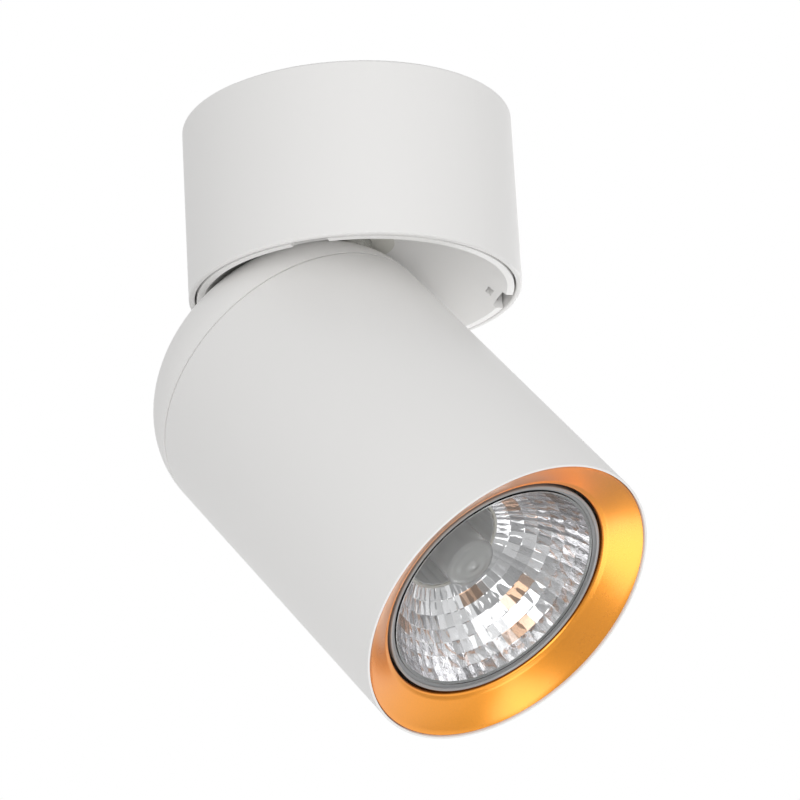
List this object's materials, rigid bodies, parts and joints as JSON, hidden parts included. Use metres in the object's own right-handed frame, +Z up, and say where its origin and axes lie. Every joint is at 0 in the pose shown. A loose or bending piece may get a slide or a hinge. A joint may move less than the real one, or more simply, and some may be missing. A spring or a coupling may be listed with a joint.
{
  "type": "spotlight fixture",
  "caption": "Surface-mounted ceiling spotlight: a round canopy with a swivel dish, a tilting cylindrical head with a domed back, a gold trim ring and a faceted reflector lamp.",
  "frame": {"origin": "centre of the canopy's ceiling face", "axes": "+Z up through the ceiling along the canopy's axis; the head is tilted towards +X; the tilt axis lies along Y"},
  "size_m": [0.1091, 0.072, 0.1396],
  "materials": {
    "white_coat": "matte",
    "gold_coat": "satin",
    "bracket_steel": "satin",
    "plated_steel": "satin",
    "brass": "satin",
    "rubber": "matte",
    "nylon": "matte",
    "white_ceramic": "matte",
    "mirror_glass": "polished",
    "cover_glass": "polished",
    "quartz_glass": "polished",
    "filament_wire": "satin"
  },
  "bodies": {
    "base": {"ceiling_bracket": "bracket_steel", "bracket_ears": "bracket_steel", "canopy_blocks": "bracket_steel", "cable_grommet": "rubber", "terminal_block": "nylon", "terminal_tubes": "brass", "terminal_screws": "plated_steel", "terminal_fixing_screws": "plated_steel", "earth_screw": "brass", "canopy_shell": "white_coat", "canopy_set_screws": "plated_steel", "bridge_plate": "bracket_steel", "bridge_screws": "plated_steel", "pan_bush": "nylon", "pan_stop_pin": "plated_steel"},
    "swivel": {"swivel_dish": "white_coat", "hollow_bolt": "plated_steel", "dome_washer": "nylon", "tilt_slider": "nylon", "slider_spring_washer": "plated_steel", "pan_washer": "nylon", "stop_washer": "plated_steel", "pan_spring_washer": "plated_steel", "pan_nut": "plated_steel", "lock_nut": "plated_steel"},
    "head": {"head_tube": "white_coat", "rear_cap": "white_coat", "chassis_disc": "bracket_steel", "chassis_screws": "plated_steel", "chassis_grommet": "rubber", "lampholder_body": "white_ceramic", "lampholder_contacts": "brass", "lampholder_screws": "plated_steel"},
    "trim": {"trim_ring": "gold_coat", "trim_clips": "plated_steel"},
    "lamp": {"lamp_reflector": "mirror_glass", "lamp_cover_glass": "cover_glass", "lamp_capsule": "quartz_glass", "lamp_filament": "filament_wire", "lamp_base": "white_ceramic", "lamp_pins": "plated_steel"}
  },
  "joints": [
    {"name": "pan", "type": "hinge", "parent": "base", "child": "swivel", "pos_m": [0, 0, 0], "axis": [0, 0, 1], "range_deg": [-165, 165]},
    {"name": "tilt", "type": "hinge", "parent": "swivel", "child": "head", "pos_m": [0, 0, -0.0752], "axis": [0, -1, 0], "range_deg": [-40.7, 0]},
    {"name": "trim_pull", "type": "slide", "parent": "head", "child": "trim", "axis": [0.6521, 0, -0.7581], "range_m": [0, 0.02]},
    {"name": "lamp_twist", "type": "hinge", "parent": "head", "child": "lamp", "pos_m": [0, 0, -0.0752], "axis": [-0.6521, 0, 0.7581], "range_deg": [-25, 0]}
  ]
}
